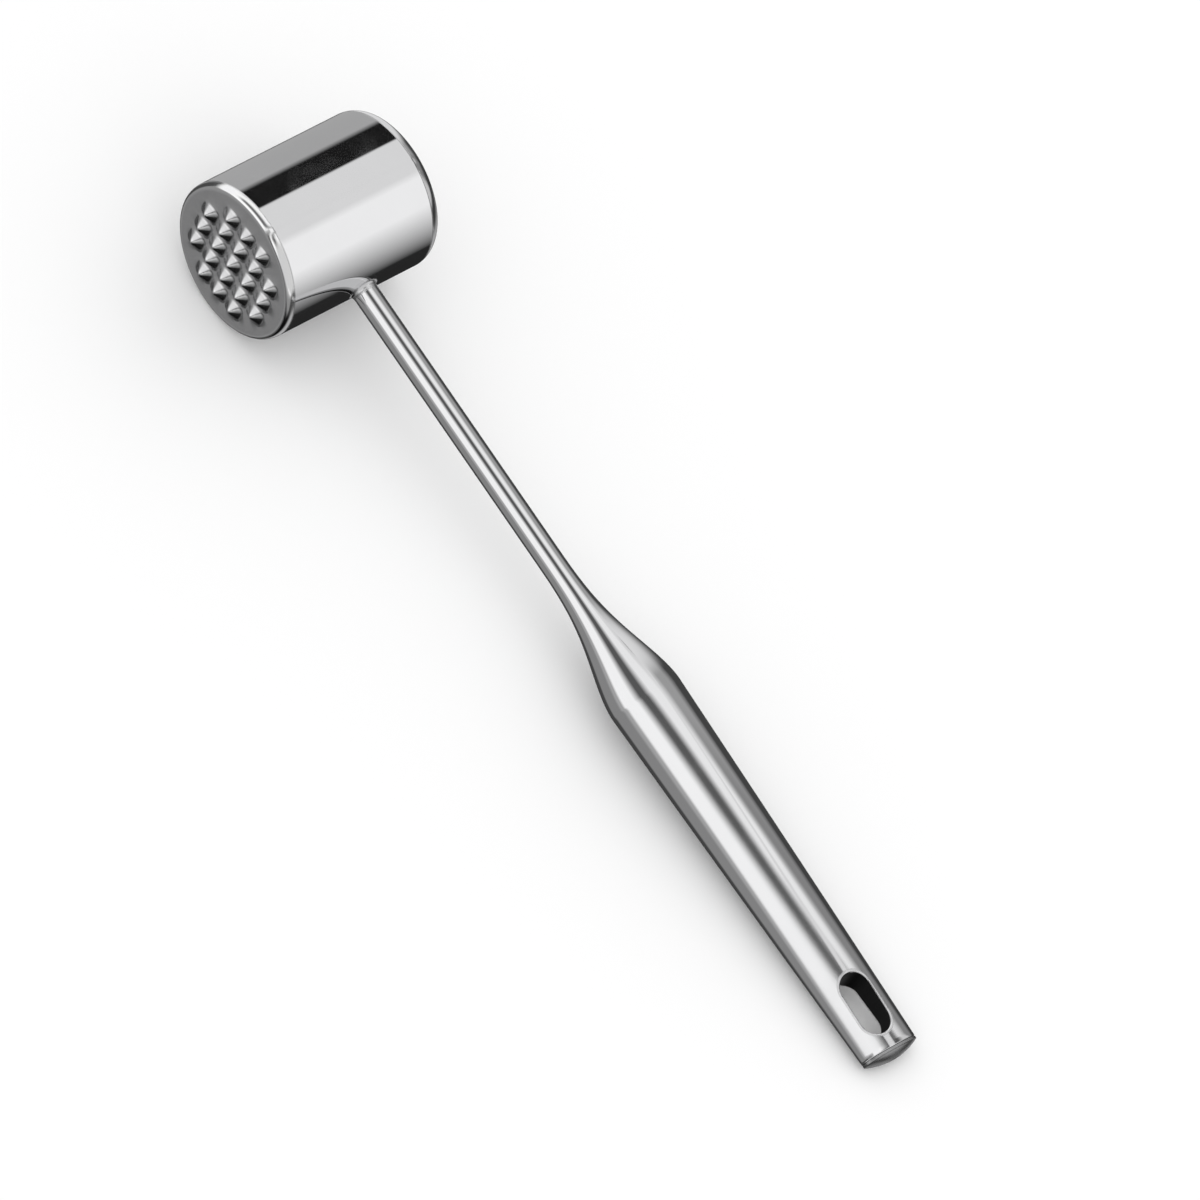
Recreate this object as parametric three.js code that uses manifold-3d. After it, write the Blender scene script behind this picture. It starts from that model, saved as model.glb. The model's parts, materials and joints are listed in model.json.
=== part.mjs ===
// Meat mallet: a hollow round steel head with a studded and a smooth striking face, on a thin stem that
// runs into a hollow grip with a lined hang slot.
//
// Every piece is drawn about one of two axes that cross at right angles. In the head's frame +Y runs along
// the head towards the smooth face. In the handle's frame +Y runs along the handle towards the grip's end,
// X is the grip's width and Z its thickness. The whole mallet then lies on a table, on the head's side and
// the grip's end, with the handle along +X and the smooth face towards +Y.

import * as THREE from "three";
import { mergeVertices } from "three/addons/utils/BufferGeometryUtils.js";
import Module from "manifold-3d";

const wasm = await Module();
wasm.setup();

// ---- Driving dimensions, in millimetres and degrees ----

// Head
const headDiameter = 47;
const headLength = 56; // from face to face, without the studs
const barrelWall = 2.5;
const studdedRim = 2.2; // thickness of the studded plate outside the barrel
const studdedRimRound = 0.8;
const studdedSpigot = 4; // length of the studded plate inside the barrel
const smoothRim = 3.4;
const smoothRimRound = 2.8;
const smoothSpigot = 3;

// Studs: a square grid of pyramids without its corners
const studRows = 5;
const studPitch = 6.85;
const studBase = 5.6;
const studTip = 0.8;
const studHeight = 2.4;
const studRoot = 0.5; // how far the studs' bodies run into the plate
const studSides = 4;
const studTurn = 6.5; // the grid's turn on the face, from the handle's direction

// Stem and its seat in the head
const stemDiameter = 7.4;
const stemOffset = 2.2; // the stem's axis, from mid-head towards the smooth face
const bossDiameter = 15;
const bossDepth = 12;
const bossFloor = 2.5;
const weldSpread = 2.5; // how far the weld reaches over the barrel round the stem
const weldRise = 3.6; // how far it climbs the stem
const weldTop = 0.3; // thickness of its upper edge

// Grip
const neckReach = 113; // from the head's axis to the end of the bare stem
const tenonDiameter = 5;
const tenonLength = 14;
const flareLength = 50; // the stretch over which the neck swells to the grip
const flareLag = 1.6; // above 1 the neck stays slim for longer
const gripReach = 281; // from the head's axis to the grip's end
const gripWidth = 22.8; // at the end of the flare
const gripThickness = 18.6;
const endWidth = 18.6;
const endThickness = 7;
const narrowingLag = 0.85; // below 1 the grip loses its width early
const thinningLag = 1.35; // above 1 the grip keeps its thickness for longer
const gripWall = 0.9;
const endSquareness = 2.55; // exponent of the outline at the end; 2 is an ellipse
const capRim = 0.6;
const capDome = 1.9;
const capSpigot = 2;
const capMiddle = 0.2; // flat middle of the dome, as a share of its width

// Hang slot
const slotLength = 19;
const slotWidth = 9.6;
const slotEndDistance = 14; // from the slot's middle to the grip's end
const linerWall = 0.9;

// Clearances
const weldGap = 0.3; // between pieces that the maker presses or welds together

// Facets
const headFacets = 72;
const stemFacets = 28;
const arcSteps = 3;
const gripFacets = 36;
const flareRings = 12;
const taperRings = 9;
const domeRings = 4;
const slotEndSteps = 8;

// ---- Sizes that follow ----

const headRadius = headDiameter / 2;
const barrelBore = headRadius - barrelWall;
const spigotRadius = barrelBore - weldGap;
const studdedFaceAt = -headLength / 2 - stemOffset;
const smoothFaceAt = headLength / 2 - stemOffset;
const stemRadius = stemDiameter / 2;
const stemHole = stemRadius + weldGap;
const bossInnerEnd = spigotRadius - bossDepth;
const slotAt = gripReach - slotEndDistance;
const flareEnd = neckReach + flareLength;
const tenonEnd = neckReach + tenonLength;
const cutOverrun = 5; // how far a cutting tool runs past what it cuts

// ---- Solids ----

function solidOf(geometry) {
  const bare = geometry.index ? geometry.toNonIndexed() : geometry.clone();
  bare.deleteAttribute("normal");
  bare.deleteAttribute("uv");
  const merged = mergeVertices(bare);
  const vertProperties = merged.attributes.position.array;
  const triVerts = new Uint32Array(merged.index.array);
  return new wasm.Manifold(new wasm.Mesh({ numProp: 3, vertProperties, triVerts }));
}

function geometryOf(solid) {
  const { vertProperties, triVerts } = solid.getMesh();
  const geometry = new THREE.BufferGeometry();
  geometry.setAttribute("position", new THREE.BufferAttribute(vertProperties, 3));
  geometry.setIndex(new THREE.BufferAttribute(triVerts, 1));
  geometry.computeVertexNormals();
  return geometry;
}

// A plain cylinder along +Y between two stations.
function roundBar(radius, from, to, facets = stemFacets) {
  const bar = new THREE.CylinderGeometry(radius, radius, to - from, facets);
  return bar.translate(0, (from + to) / 2, 0);
}

// The head's round body as the handle's frame sees it: lying along X.
function headBody(radius) {
  const body = roundBar(radius, -headLength, headLength, headFacets);
  return solidOf(body.rotateZ(Math.PI / 2));
}

// A bar with rounded ends in plan, upright along Z, centred on a station of the handle.
function slotBar(length, width, height, station) {
  const round = width / 2;
  const straight = length / 2 - round;
  const plan = new THREE.Shape();
  plan.absarc(0, straight, round, 0, Math.PI);
  plan.absarc(0, -straight, round, Math.PI, 2 * Math.PI);
  const bar = new THREE.ExtrudeGeometry(plan, {
    depth: height,
    bevelEnabled: false,
    curveSegments: slotEndSteps,
  });
  return solidOf(bar.translate(0, station, -height / 2));
}

// ---- Grip form ----

const mix = (from, to, share) => from + (to - from) * share;
const ease = (share) => share * share * (3 - 2 * share);
const shareBetween = (low, high, value) => Math.min(Math.max((value - low) / (high - low), 0), 1);

// Half width, half thickness and squareness of the grip's outline at a station along the handle.
function gripSection(station) {
  const swell = ease(shareBetween(neckReach, flareEnd, station) ** flareLag);
  const along = shareBetween(flareEnd, gripReach, station);
  const thinning = along ** thinningLag;
  return {
    halfWidth: mix(stemRadius, mix(gripWidth, endWidth, along ** narrowingLag) / 2, swell),
    halfThickness: mix(stemRadius, mix(gripThickness, endThickness, thinning) / 2, swell),
    squareness: mix(2, endSquareness, thinning),
  };
}

// Wraps a round bar of unit radius in the grip's outline: each ring goes to its station, and its points go
// out to the outline there, less the inset, times the ring's share of the full outline.
function wrapped(rings, inset) {
  const bar = new THREE.CylinderGeometry(1, 1, rings.length - 1, gripFacets, rings.length - 1);
  const place = bar.attributes.position;
  for (let i = 0; i < place.count; i++) {
    const ring = rings[Math.round(place.getY(i) + (rings.length - 1) / 2)];
    const { halfWidth, halfThickness, squareness } = gripSection(ring.station);
    const reach = Math.hypot(place.getX(i), place.getZ(i)) * ring.share;
    const angle = Math.atan2(place.getZ(i), place.getX(i));
    const across = Math.sign(Math.cos(angle)) * Math.abs(Math.cos(angle)) ** (2 / squareness);
    const up = Math.sign(Math.sin(angle)) * Math.abs(Math.sin(angle)) ** (2 / squareness);
    place.setXYZ(
      i,
      reach * across * (halfWidth - inset),
      ring.at,
      reach * up * (halfThickness - inset),
    );
  }
  return solidOf(bar);
}

// Rings along the grip from one station to another, closer together over the flare.
function gripRings(from, to) {
  const stations = [];
  for (let i = 0; i < flareRings; i++) stations.push(mix(from, flareEnd, i / flareRings));
  for (let i = 0; i <= taperRings; i++) stations.push(mix(flareEnd, to, i / taperRings));
  return stations.map((station) => ({ station, at: station, share: 1 }));
}

const gripOutside = wrapped(gripRings(neckReach + weldGap, gripReach), 0);

// ---- Head pieces, in the head's frame ----

function headBarrel() {
  const from = studdedFaceAt + studdedRim + weldGap;
  const to = smoothFaceAt - smoothRim - weldGap;
  const outside = solidOf(roundBar(headRadius, from, to, headFacets));
  const bore = solidOf(roundBar(barrelBore, from - cutOverrun, to + cutOverrun, headFacets));
  const crossHole = roundBar(stemHole, 0, headRadius + cutOverrun).rotateZ(-Math.PI / 2);
  return outside.subtract(bore).subtract(solidOf(crossHole));
}

// A round plate with a rounded outer edge and a spigot that enters the barrel, its face at y = 0 and its
// body below.
function strikingPlate(rim, rimRound, spigot) {
  const profile = new THREE.Path();
  profile.moveTo(0, -rim - spigot);
  profile.lineTo(spigotRadius, -rim - spigot);
  profile.lineTo(spigotRadius, -rim);
  profile.lineTo(headRadius, -rim);
  profile.absarc(headRadius - rimRound, -rimRound, rimRound, 0, Math.PI / 2);
  profile.lineTo(0, 0);
  return new THREE.LatheGeometry(profile.getPoints(arcSteps), headFacets);
}

function studdedFace() {
  const plate = strikingPlate(studdedRim, studdedRimRound, studdedSpigot).rotateX(Math.PI);
  let face = solidOf(plate.translate(0, studdedFaceAt, 0));
  const last = (studRows - 1) / 2;
  const rootBase = studBase + ((studBase - studTip) * studRoot) / studHeight;
  for (let row = -last; row <= last; row++) {
    for (let column = -last; column <= last; column++) {
      if (Math.abs(row) === last && Math.abs(column) === last) continue;
      const stud = new THREE.CylinderGeometry(
        studTip / Math.SQRT2,
        rootBase / Math.SQRT2,
        studHeight + studRoot,
        studSides,
      );
      stud.rotateX(Math.PI).rotateY(Math.PI / studSides);
      stud.translate(row * studPitch, studdedFaceAt - (studHeight - studRoot) / 2, column * studPitch);
      stud.rotateY(-THREE.MathUtils.degToRad(studTurn));
      face = face.add(solidOf(stud));
    }
  }
  return face;
}

function smoothFace() {
  return solidOf(strikingPlate(smoothRim, smoothRimRound, smoothSpigot).translate(0, smoothFaceAt, 0));
}

// ---- Handle pieces, in the handle's frame ----

function stemBoss() {
  const block = solidOf(roundBar(bossDiameter / 2, bossInnerEnd, headRadius));
  const seat = solidOf(roundBar(stemHole, bossInnerEnd + bossFloor, headRadius + cutOverrun));
  return block.intersect(headBody(spigotRadius)).subtract(seat);
}

function stemRod() {
  const from = bossInnerEnd + bossFloor + weldGap;
  const tenonRadius = tenonDiameter / 2;
  const profile = [
    new THREE.Vector2(0, from),
    new THREE.Vector2(stemRadius, from),
    new THREE.Vector2(stemRadius, neckReach),
    new THREE.Vector2(tenonRadius, neckReach),
    new THREE.Vector2(tenonRadius, tenonEnd),
    new THREE.Vector2(0, tenonEnd),
  ];
  return solidOf(new THREE.LatheGeometry(profile, stemFacets));
}

// A ring with a hollow flank, from a wide foot on the barrel to a thin edge on the stem.
function neckWeld() {
  const foot = barrelBore;
  const top = headRadius + weldGap + weldRise;
  const profile = new THREE.Path();
  profile.moveTo(stemHole, foot);
  profile.lineTo(stemHole + weldSpread, foot);
  profile.lineTo(stemHole + weldSpread, headRadius);
  profile.quadraticCurveTo(stemHole + weldTop, headRadius, stemHole + weldTop, top);
  profile.lineTo(stemHole, top);
  profile.closePath();
  const ring = new THREE.LatheGeometry(profile.getPoints(arcSteps), stemFacets);
  return solidOf(ring).subtract(headBody(headRadius + weldGap));
}

function gripShell() {
  const cavity = wrapped(gripRings(tenonEnd, gripReach + cutOverrun), gripWall);
  const tenonBore = roundBar(tenonDiameter / 2 + weldGap, neckReach - cutOverrun, tenonEnd + weldGap);
  const linerLength = slotLength + 2 * (linerWall + weldGap);
  const linerWidth = slotWidth + 2 * (linerWall + weldGap);
  const linerHole = slotBar(linerLength, linerWidth, gripThickness, slotAt);
  return gripOutside.subtract(cavity).subtract(solidOf(tenonBore)).subtract(linerHole);
}

function hangSlotLiner() {
  const outside = slotBar(slotLength + 2 * linerWall, slotWidth + 2 * linerWall, gripThickness, slotAt);
  const slot = slotBar(slotLength, slotWidth, gripThickness + cutOverrun, slotAt);
  return outside.subtract(slot).intersect(gripOutside);
}

function gripEndCap() {
  const rimFrom = gripReach + weldGap;
  const dome = [{ station: gripReach, at: rimFrom, share: 1 }];
  for (let i = 0; i <= domeRings; i++) {
    const climb = i / domeRings;
    const rise = capDome * (1 - (1 - climb) ** 2);
    dome.push({ station: gripReach, at: rimFrom + capRim + rise, share: mix(1, capMiddle, climb) });
  }
  const spigot = [gripReach - capSpigot, rimFrom + capRim / 2].map((at) => {
    return { station: gripReach, at, share: 1 };
  });
  return wrapped(dome, 0).add(wrapped(spigot, gripWall + weldGap));
}

// ---- Assembly ----

function piece(name, solid, color, roughness) {
  const material = new THREE.MeshStandardMaterial({ color, roughness, metalness: 1 });
  const mesh = new THREE.Mesh(geometryOf(solid), material);
  mesh.name = name;
  return mesh;
}

const head = new THREE.Group();
head.add(
  piece("head_barrel", headBarrel(), 0xd4d5d6, 0.08),
  piece("studded_face", studdedFace(), 0xa9aaab, 0.38),
  piece("smooth_face", smoothFace(), 0xcfd0d1, 0.12),
);

const handle = new THREE.Group();
handle.add(
  piece("stem_boss", stemBoss(), 0x9a9b9c, 0.5),
  piece("neck_weld", neckWeld(), 0xcccdce, 0.14),
  piece("stem_rod", stemRod(), 0xcfd0d1, 0.12),
  piece("grip_shell", gripShell(), 0xd0d1d2, 0.14),
  piece("hang_slot_liner", hangSlotLiner(), 0x8f9091, 0.25),
  piece("grip_end_cap", gripEndCap(), 0xa0a1a2, 0.25),
);
handle.rotation.z = -Math.PI / 2;

// Lying down, the handle dips until the cap's rim reaches the table that the head's side lies on.
const rimReach = gripReach + weldGap + capRim;
const dip =
  Math.asin(headRadius / Math.hypot(rimReach, endThickness / 2)) -
  Math.atan2(endThickness / 2, rimReach);
const tipReach = (rimReach + capDome) * Math.cos(dip);

const mallet = new THREE.Group();
mallet.name = "meat_mallet";
mallet.add(head, handle);
mallet.rotation.y = dip;
mallet.position.set(
  (headRadius - tipReach) / 2,
  (studHeight - studdedFaceAt - smoothFaceAt) / 2,
  headRadius,
);

export default mallet;
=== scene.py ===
"""Fine surface, finishes and studio for an all-steel meat mallet, laid out as an add-on and run as a script.

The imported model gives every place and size. The pieces are modelled in the mallet's own frame, where X runs
along the handle from the head's axis, Y along the head towards the smooth face and Z through the hang slot,
and each piece then lies on the table with the mallet.
"""

import json
import math

import bmesh
import bpy
from mathutils import Matrix, Vector


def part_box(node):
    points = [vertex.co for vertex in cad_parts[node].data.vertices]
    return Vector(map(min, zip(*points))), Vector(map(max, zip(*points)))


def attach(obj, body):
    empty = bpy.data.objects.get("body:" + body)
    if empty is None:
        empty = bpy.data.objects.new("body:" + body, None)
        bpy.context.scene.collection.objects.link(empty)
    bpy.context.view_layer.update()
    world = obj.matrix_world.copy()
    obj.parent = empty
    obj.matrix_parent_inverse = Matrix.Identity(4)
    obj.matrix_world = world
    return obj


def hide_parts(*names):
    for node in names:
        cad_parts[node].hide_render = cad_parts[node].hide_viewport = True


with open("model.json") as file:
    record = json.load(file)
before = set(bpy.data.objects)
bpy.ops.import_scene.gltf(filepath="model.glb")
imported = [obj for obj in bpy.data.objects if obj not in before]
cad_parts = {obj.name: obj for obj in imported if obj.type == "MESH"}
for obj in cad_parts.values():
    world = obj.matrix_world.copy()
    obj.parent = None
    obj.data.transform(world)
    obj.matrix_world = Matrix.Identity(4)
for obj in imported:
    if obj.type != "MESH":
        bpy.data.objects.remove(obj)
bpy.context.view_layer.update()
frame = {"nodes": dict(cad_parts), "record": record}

bl_info = {
    "name": "Meat Mallet Finisher",
    "version": (1, 0, 0),
    "blender": (4, 5, 0),
    "location": "3D View > Sidebar > Mallet",
    "description": "Builds the fine surface, the steel finishes and the studio of a meat mallet",
    "category": "Object",
}

MM = 0.001
BODY = "root"
AIM = (132.1 * MM, 6.0 * MM, 0.0)  # the middle of the picture, in the mallet's own frame
MOUNTS = {mount["name"]: Vector(mount["pos_m"]) for mount in frame["record"]["mounts"]}

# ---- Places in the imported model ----


def lying():
    """The matrix that lays the mallet's own frame on the table."""
    face, slot = MOUNTS["smooth_face"], MOUNTS["hang_slot"]
    dip = math.atan2(face.z - slot.z, slot.x - face.x)
    return Matrix.Translation((face.x, slot.y, face.z)) @ Matrix.Rotation(dip, 4, "Y")


LYING = lying()
SMOOTH_FACE_AT = MOUNTS["smooth_face"].y - MOUNTS["hang_slot"].y
SLOT_AT = (LYING.inverted() @ MOUNTS["hang_slot"]).x
STUD_TIPS_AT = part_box("studded_face")[0].y - MOUNTS["hang_slot"].y
STUDDED_SPIGOT_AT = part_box("studded_face")[1].y - MOUNTS["hang_slot"].y
SMOOTH_SPIGOT_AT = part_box("smooth_face")[0].y - MOUNTS["hang_slot"].y
HEAD_RADIUS = (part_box("head_barrel")[1].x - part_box("head_barrel")[0].x) / 2
STEM_RADIUS = (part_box("stem_rod")[1].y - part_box("stem_rod")[0].y) / 2


# ---- Settings ----


def length(name, description, millimetres):
    """A length property whose default is given in millimetres."""
    return bpy.props.FloatProperty(
        name=name,
        description=description,
        default=millimetres * MM,
        min=0.0,
        precision=5,
        unit="LENGTH",
        subtype="DISTANCE",
    )


def angle(name, description, degrees):
    """An angle property whose default is given in degrees."""
    return bpy.props.FloatProperty(
        name=name,
        description=description,
        default=math.radians(degrees),
        unit="ROTATION",
        subtype="ANGLE",
    )


def share(name, description, default, highest=1.0):
    """A plain number from 0 up."""
    return bpy.props.FloatProperty(
        name=name, description=description, default=default, min=0.0, max=highest
    )


def steel(name, description, grey):
    """A neutral metal colour."""
    return bpy.props.FloatVectorProperty(
        name=name,
        description=description,
        default=(grey, grey, grey * 1.01),
        size=3,
        min=0.0,
        max=1.0,
        subtype="COLOR",
    )


class MalletHeadSettings(bpy.types.PropertyGroup):
    """Sizes of the head that its box doesn't give."""

    barrel_wall: length("Barrel Wall", "Thickness of the barrel's wall", 2.5)
    edge_round: length("Edge Round", "Rounding of the barrel's two edges", 0.18)
    seam: length("Seam", "Hairline between the barrel and its end plates", 0.06)
    studded_rim: length("Studded Rim", "Thickness of the studded plate at its rim", 2.2)
    studded_round: length("Studded Round", "How far its rounded rim reaches over the face", 1.3)
    smooth_rim: length("Smooth Rim", "Thickness of the smooth plate at its rim", 3.4)
    smooth_round: length("Smooth Round", "How far its rounded rim reaches over the face", 2.8)
    rim_lean: angle("Rim Lean", "Slope with which a rounded rim leaves the seam", 13.0)
    stud_height: length("Stud Height", "Height of a stud above the plate", 2.4)
    stud_pitch: length("Stud Pitch", "Distance between neighbouring studs", 6.85)
    stud_base: length("Stud Base", "Width of a stud at the plate", 6.3)
    stud_tip: length("Stud Tip", "Width of a stud's blunt tip", 0.8)
    stud_turn: angle("Stud Turn", "Turn of the stud grid from the handle's line", 6.5)


class MalletHandleSettings(bpy.types.PropertyGroup):
    """Sizes of the stem and the grip that their boxes don't give."""

    weld_spread: length("Weld Spread", "Reach of the weld over the barrel", 0.9)
    weld_rise: length("Weld Rise", "Reach of the weld up the stem", 1.6)
    neck_reach: length("Neck Reach", "Head axis to the end of the bare stem", 113.0)
    flare_length: length("Flare Length", "Stretch over which the neck swells", 50.0)
    flare_lag: share("Flare Lag", "Above 1 the neck stays slim for longer", 1.6, 4.0)
    grip_reach: length("Grip Reach", "Head axis to the grip's end", 281.0)
    grip_width: length("Grip Width", "Width at the end of the flare", 22.8)
    grip_thickness: length("Grip Thickness", "Thickness at the end of the flare", 18.6)
    end_width: length("End Width", "Width at the grip's end", 18.6)
    end_thickness: length("End Thickness", "Thickness at the grip's end", 7.0)
    narrowing_lag: share("Narrowing Lag", "Below 1 the grip loses its width early", 0.85, 4.0)
    thinning_lag: share("Thinning Lag", "Above 1 the grip stays thick for longer", 1.35, 4.0)
    squareness: share("Squareness", "Exponent of the outline at the grip's end", 2.55, 8.0)
    grip_wall: length("Grip Wall", "Thickness of the grip's wall", 0.9)
    slot_length: length("Slot Length", "Length of the hang slot", 19.0)
    slot_width: length("Slot Width", "Width of the hang slot", 9.6)
    liner_wall: length("Liner Wall", "Thickness of the slot's liner", 0.9)
    lip_round: length("Lip Round", "Rounding of the liner's lip", 0.45)
    cap_rim: length("Cap Rim", "Height of the end cap's rim", 0.6)
    cap_dome: length("Cap Dome", "Rise of the end cap's dome", 1.9)
    cap_gap: length("Cap Gap", "Seam between the grip and its cap", 0.12)


class MalletFinishSettings(bpy.types.PropertyGroup):
    """Colours and polish of the steel."""

    barrel_steel: steel("Barrel Steel", "Colour of the mirror-polished barrel", 0.87)
    cast_steel: steel("Cast Steel", "Colour of the satin studded plate", 0.87)
    striking_steel: steel("Striking Steel", "Colour of the smooth plate", 0.84)
    handle_steel: steel("Handle Steel", "Colour of the stem and the grip", 0.87)
    # Painted shade: the slot wall's steel is near-black, standing for the shadow inside the hole.
    slot_steel: steel("Slot Steel", "Colour of the wall inside the hang slot", 0.05)
    # Painted shade: the cap's steel is darkened well below the handle's, standing for its dark reflection.
    cap_steel: steel("Cap Steel", "Colour of the end cap", 0.42)
    inner_steel: steel("Inner Steel", "Colour of the boss inside the head", 0.45)
    barrel_roughness: share("Barrel Roughness", "Haze of the barrel's mirror", 0.035)
    handle_roughness: share("Handle Roughness", "Haze of the handle's polish", 0.04)
    cast_roughness: share("Cast Roughness", "Haze of the studded plate", 0.22)
    scratch_depth: share("Scratch Depth", "Strength of the fine polishing lines", 0.05)


class MalletStageSettings(bpy.types.PropertyGroup):
    """The camera and the studio."""

    azimuth: angle("Azimuth", "Turn of the camera round the mallet", 24.18)
    elevation: angle("Elevation", "Height of the camera above the horizon", 54.37)
    roll: angle("Roll", "Lean of the camera about its line of sight", 33.08)
    distance: length("Distance", "Camera to the middle of the picture", 4647.6)
    lens: share("Lens", "Focal length in millimetres on a 36 mm sensor", 508.0, 5000.0)
    floor_white: share("Floor White", "Whiteness of the floor", 0.93)
    room_light: share("Room Light", "Brightness of the plain room", 1.1, 10.0)


# ---- Meshes ----

RING_STEPS = 256  # points round a turned piece
ARC_STEPS = 7  # edges in a rounded corner
HOLD = 0.06 * MM  # distance from a rounded corner to the edge loop that keeps the flat beside it flat
SHARP = math.radians(32)


def finished(name, mesh, node, material, cutters=()):
    """Makes the mesh an object that lies with the mallet and stands for its CAD node."""
    mesh.normal_update()
    data = bpy.data.meshes.new(name)
    mesh.to_mesh(data)
    mesh.free()
    obj = bpy.data.objects.new(name, data)
    bpy.context.scene.collection.objects.link(obj)
    for cutter in cutters:
        cut(obj, cutter)
    obj.data.polygons.foreach_set("use_smooth", [True] * len(obj.data.polygons))
    obj.data.set_sharp_from_angle(angle=SHARP)
    obj.data.materials.append(material)
    obj.data.transform(LYING)
    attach(obj, BODY)
    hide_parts(node)
    return obj


def drop_slivers(data, shortest=0.001 * MM):
    """Merges points that lie closer than that, and takes out pairs of faces that lie on each other."""
    mesh = bmesh.new()
    mesh.from_mesh(data)
    bmesh.ops.remove_doubles(mesh, verts=mesh.verts, dist=shortest)
    bmesh.ops.dissolve_degenerate(mesh, edges=mesh.edges, dist=shortest)
    many_sided = [face for face in mesh.faces if len(face.verts) > 4]
    bmesh.ops.triangulate(mesh, faces=many_sided)
    alike = {}
    for face in mesh.faces:
        alike.setdefault(frozenset(face.verts), []).append(face)
    doubled = [face for faces in alike.values() if len(faces) > 1 for face in faces]
    bmesh.ops.delete(mesh, geom=doubled, context="FACES")
    mesh.to_mesh(data)
    mesh.free()


def cut(obj, cutter):
    """Takes the cutter's closed mesh away from the object."""
    data = bpy.data.meshes.new("cutter")
    cutter.to_mesh(data)
    cutter.free()
    tool = bpy.data.objects.new("cutter", data)
    bpy.context.scene.collection.objects.link(tool)
    modifier = obj.modifiers.new("cut", "BOOLEAN")
    modifier.operation = "DIFFERENCE"
    modifier.solver = "EXACT"
    modifier.object = tool
    depsgraph = bpy.context.evaluated_depsgraph_get()
    result = bpy.data.meshes.new_from_object(obj.evaluated_get(depsgraph))
    obj.modifiers.clear()
    drop_slivers(result)
    obj.data = result
    bpy.data.objects.remove(tool)


def skinned(rings, closed_rings=False):
    """A closed mesh through rings of equally many points.

    The ends are closed by a fan, or the last ring joins the first.
    """
    mesh = bmesh.new()
    loops = [[mesh.verts.new(point) for point in ring] for ring in rings]
    pairs = list(zip(loops, loops[1:]))
    if closed_rings:
        pairs.append((loops[-1], loops[0]))
    for low, high in pairs:
        for i, corner in enumerate(low):
            j = (i + 1) % len(low)
            mesh.faces.new((corner, low[j], high[j], high[i]))
    if not closed_rings:
        for loop, backwards in ((loops[0], True), (loops[-1], False)):
            middle = sum((vertex.co for vertex in loop), Vector()) / len(loop)
            hub = mesh.verts.new(middle)
            for i, corner in enumerate(loop):
                after = loop[(i + 1) % len(loop)]
                mesh.faces.new((after, corner, hub) if backwards else (corner, after, hub))
    bmesh.ops.recalc_face_normals(mesh, faces=mesh.faces)
    return mesh


def rounded(corners):
    """Points along a profile whose corners (radius, height, rounding) are rounded by arcs."""
    points = []
    for i, (across, along, rounding) in enumerate(corners):
        here = Vector((across, along))
        if not rounding:
            points.append(here)
            continue
        back = (Vector(corners[i - 1][:2]) - here).normalized()
        ahead = (Vector(corners[(i + 1) % len(corners)][:2]) - here).normalized()
        half = back.angle(ahead) / 2
        reach = rounding / math.tan(half)
        centre = here + (back + ahead).normalized() * rounding / math.sin(half)
        first, last = here + back * reach, here + ahead * reach
        points.append(first + back * HOLD)
        for step in range(ARC_STEPS + 1):
            toward = (first - centre).normalized().slerp((last - centre).normalized(), step / ARC_STEPS)
            points.append(centre + toward * rounding)
        points.append(last + ahead * HOLD)
    return points


def turned(profile, axis, closed=False, steps=RING_STEPS):
    """A piece turned on a lathe: the profile's points (radius, height) go round the head or the stem."""
    rings = []
    for across, along in profile:
        ring = []
        for i in range(steps):
            turn = math.tau * i / steps
            a, b = across * math.cos(turn), across * math.sin(turn)
            ring.append((a, along, b) if axis == "Y" else (along, a, b))
        rings.append(ring)
    return skinned(rings, closed)


def rim_bead(seam_at, face_at, inward, lean):
    """Profile of a plate's rounded rim, which leaves the seam at a slope and runs out flat on the face."""
    edge = 0.08 * MM
    outer = HEAD_RADIUS - 0.03 * MM
    deep = math.cos(lean)
    out = math.sin(lean)
    start = mix(seam_at, face_at, 0.02)
    points = [Vector((outer - edge, seam_at)), Vector((outer, start))]
    for step in range(1, 2 * ARC_STEPS + 1):
        turn = lean + (math.pi / 2 - lean) * step / (2 * ARC_STEPS)
        along = (math.sin(turn) - out) / (1 - out)
        drop = (deep - math.cos(turn)) / deep
        points.append(Vector((outer - inward * drop, mix(start, face_at, along))))
    points.append(Vector((outer - inward - HOLD, face_at)))
    return points


def stretched(points, longest):
    """The profile with extra points, so that no edge is longer than that."""
    out = [points[0]]
    for here, there in zip(points, points[1:]):
        count = max(1, math.ceil((there - here).length / longest))
        out.extend(here.lerp(there, (i + 1) / count) for i in range(count))
    return out


# ---- Grip form ----


def ease(value):
    """Smooth step from 0 to 1."""
    return value * value * (3 - 2 * value)


def between(low, high, value):
    """How far value is on its way from low to high, from 0 to 1."""
    return min(max((value - low) / (high - low), 0.0), 1.0)


def mix(low, high, value):
    """The number that lies at that share between two."""
    return low + (high - low) * value


def grip_section(station):
    """Half width, half thickness and squareness of the grip at a station along the handle."""
    s = bpy.context.scene.mallet_handle
    flare_end = s.neck_reach + s.flare_length
    swell = ease(between(s.neck_reach, flare_end, station) ** s.flare_lag)
    along = between(flare_end, s.grip_reach, station)
    thinning = along**s.thinning_lag
    width = mix(s.grip_width, s.end_width, along**s.narrowing_lag)
    thickness = mix(s.grip_thickness, s.end_thickness, thinning)
    half_width = mix(STEM_RADIUS, width / 2, swell)
    half_thickness = mix(STEM_RADIUS, thickness / 2, swell)
    return half_width, half_thickness, mix(2.0, s.squareness, thinning)


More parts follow.
